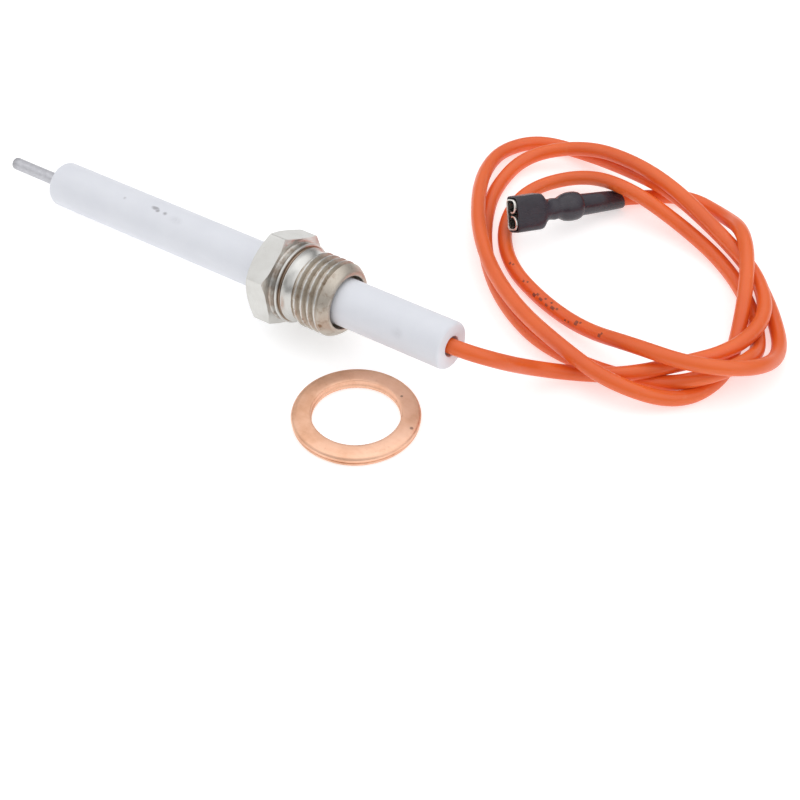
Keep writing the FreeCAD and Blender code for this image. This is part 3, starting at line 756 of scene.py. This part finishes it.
def make_receptacle():
    """Strip rolled into two wings over a base, a neck, and two crimp barrels."""
    half = [
        (0.46, 0.10), (0.36, -0.22), (0.42, -0.62), (0.68, -0.98), (1.10, -1.22), (1.60, -1.31), (2.12, -1.27),
        (2.50, -1.08), (2.74, -0.74), (2.82, -0.30), (2.83, 0.20), (2.82, 0.62), (2.74, 0.98), (2.54, 1.20),
        (2.24, 1.30), (1.70, 1.32), (0.90, 1.32),
    ]
    half = smooth_line(half, 4)
    line = half + [(0.0, 1.32)] + [(-x, y) for x, y in reversed(half)]
    outer, inner = [], []
    for k, (x, y) in enumerate(line):
        before, after = line[max(k - 1, 0)], line[min(k + 1, len(line) - 1)]
        way = Vector((after[0] - before[0], after[1] - before[1])).normalized()
        outer.append((x + way.y * STRIP / 2, y - way.x * STRIP / 2))
        inner.append((x - way.y * STRIP / 2, y + way.x * STRIP / 2))
    loop = outer + inner[::-1]
    middle = [((a[0] + b[0]) / 2, (a[1] + b[1]) / 2) for a, b in zip(outer, inner)]
    core = middle + middle[::-1]
    sections = []
    ends = ((19.4, 0.4), (19.5, 0.0), (23.0, 0.0), (26.12, 0.0), (26.24, 0.12), (26.3, 0.4))
    for height, shrink in ends:
        sections.append([
            (x + (cx - x) * shrink, y + (cy - y) * shrink, height) for (x, y), (cx, cy) in zip(loop, core)
        ])
    box = bar(sections)
    neck = []
    for height, wide in ((16.9, 1.1), (17.4, 1.2), (18.6, 1.2), (19.0, 1.5), (19.6, 1.6)):
        corners = ((-wide, 0.75), (wide, 0.75), (wide, 1.4), (-wide, 1.4))
        neck.append([(x, y, height) for x, y in corners])

    def barrel(low, high, hole, radius):
        spots, faces = [], []
        outline = soft_corners([(radius, low), (radius, high), (hole, high), (hole, low)], [0.15] * 4, 3)
        count = len(outline)
        for column in range(48):
            a = 2 * math.pi * column / 48
            fold = 1 - 0.10 * math.exp(-((a - 1.5 * math.pi) / 0.22) ** 2)
            for r, z in outline:
                r = r * fold if r > hole + 0.2 else r
                spots.append((r * math.cos(a), r * math.sin(a), z))
        for column in range(48):
            here, there = column * count, (column + 1) % 48 * count
            for row in range(count):
                after = (row + 1) % count
                faces.append((here + row, there + row, there + after, here + after))
        return spots, faces

    spots, faces = merged([box, bar(neck), barrel(14.0, 17.2, 0.6, 1.3), barrel(10.6, 13.5, 1.42, 1.92)])
    obj = mesh_object("receptacle", spots, faces, on_terminal(), 40)
    return finish_piece(obj, TIN, "probe", "terminal_plate", "push_on_receptacle")


# ---------------------------------------------------------------- washer

def make_washer():
    """Folded crush ring: crowned faces, a seam low on the outer rim and an inner step with fine ribs."""
    corners = [
        (8.3, 0.0), (10.9, 0.0), (11.22, 0.12), (11.3, 0.42), (11.28, 0.62), (11.02, 0.70),
        (11.02, 0.78), (11.34, 0.86), (11.4, 1.15), (11.32, 1.5), (11.05, 1.76), (10.4, 1.93),
        (9.3, 2.0), (8.4, 1.99), (8.02, 1.93), (7.93, 1.8), (7.92, 1.5), (7.92, 1.06),
        (7.9, 0.96), (7.78, 0.90), (7.75, 0.6), (7.78, 0.3), (7.95, 0.08),
    ]
    outline = soft_corners(corners, [0.12] * len(corners), 3)

    def ribbed(angle, radius, height, row):
        place = Vector((math.cos(angle) * 1.7, math.sin(angle) * 1.7, height * 0.5))
        wave = noise.noise(place)
        if radius < 7.99:
            radius += 0.022 * math.sin(angle * 84) + 0.03 * wave
        elif radius > 10.9:
            radius += 0.05 * wave - 0.03
        elif height > 1.5:
            height += 0.035 * wave - 0.02
        return radius, max(height, 0.0)

    obj = ring("crush_ring", outline, Matrix.Translation(WASHER * MM), 504, ribbed, 40)
    return finish_piece(obj, COPPER, "washer", "washer_copper", "washer_jacket")


# ---------------------------------------------------------------- floor and light

def make_floor():
    mesh = bpy.data.meshes.new("floor")
    side = 3.0
    corners = [(-side, -side, 0), (side, -side, 0), (side, side, 0), (-side, side, 0)]
    mesh.from_pydata(corners, [], [(0, 1, 2, 3)])
    floor = link(bpy.data.objects.new("floor", mesh))
    floor.location = (0, 0, -0.00002)
    mesh.materials.append(floor_paint())


def area_light(name, place, target, size, power, color=(1, 1, 1)):
    data = bpy.data.lights.new(name, "AREA")
    data.shape = "RECTANGLE"
    data.size, data.size_y = size
    data.energy = power
    data.color = color
    light = link(bpy.data.objects.new(name, data))
    light.location = place
    light.rotation_mode = "QUATERNION"
    light.rotation_quaternion = (Vector(target) - Vector(place)).to_track_quat("-Z", "Y")


def make_light():
    middle = (0.02, 0.03, 0.0)
    area_light("overhead", (0.05, 0.20, 0.62), middle, (1.0, 0.8), 1.35)
    area_light("left", (-0.45, -0.25, 0.40), middle, (0.75, 0.8), 0.70, (0.97, 0.98, 1.0))
    area_light("right", (0.62, 0.10, 0.34), middle, (0.5, 0.6), 0.5)
    world = bpy.data.worlds.new("studio")
    bpy.context.scene.world = world
    world.use_nodes = True
    tree = world.node_tree
    tree.nodes.clear()
    out = tree.nodes.new("ShaderNodeOutputWorld")
    back = tree.nodes.new("ShaderNodeBackground")
    place = tree.nodes.new("ShaderNodeTexCoord")
    split = tree.nodes.new("ShaderNodeSeparateXYZ")
    ramp = tree.nodes.new("ShaderNodeValToRGB")
    tree.links.new(place.outputs["Generated"], split.inputs[0])
    tree.links.new(split.outputs["Z"], ramp.inputs["Fac"])
    stops = [(0.0, 0.95), (0.10, 0.35), (0.24, 0.20), (0.42, 0.8), (1.0, 1.0)]
    while len(ramp.color_ramp.elements) < len(stops):
        ramp.color_ramp.elements.new(0.5)
    for element, (spot, level) in zip(ramp.color_ramp.elements, stops):
        element.position = spot
        element.color = (level, level, level * 1.01, 1)
    tree.links.new(ramp.outputs["Color"], back.inputs["Color"])
    back.inputs["Strength"].default_value = 0.85
    tree.links.new(back.outputs[0], out.inputs["Surface"])
    bpy.context.scene.view_settings.view_transform = "Standard"
    bpy.context.scene.view_settings.look = "None"


# ---------------------------------------------------------------- assembly

finish_piece(LEAD, SILICONE, "probe", "silicone", "lead_wire")
SPOTS, REACH = cord_line(LEAD)
make_electrode()
make_ceramic()
make_bushing()
TICKS = printed_ticks(SPOTS, REACH)
SHRINK = make_sleeve()
RECEPTACLE = make_receptacle()
make_washer()

for node, paint in (
    ("front_packing_ring", TIN), ("rear_packing_ring", TIN), ("bushing_cement", CEMENT),
    ("rod_cement", CEMENT), ("bore_potting", CEMENT), ("splice_ferrule", TIN),
    ("inner_conductor", TIN), ("terminal_conductor", TIN), ("washer_filler", COPPER),
):
    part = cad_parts[node]
    for holder in part.material_slots:
        holder.material = paint

make_floor()
make_light()
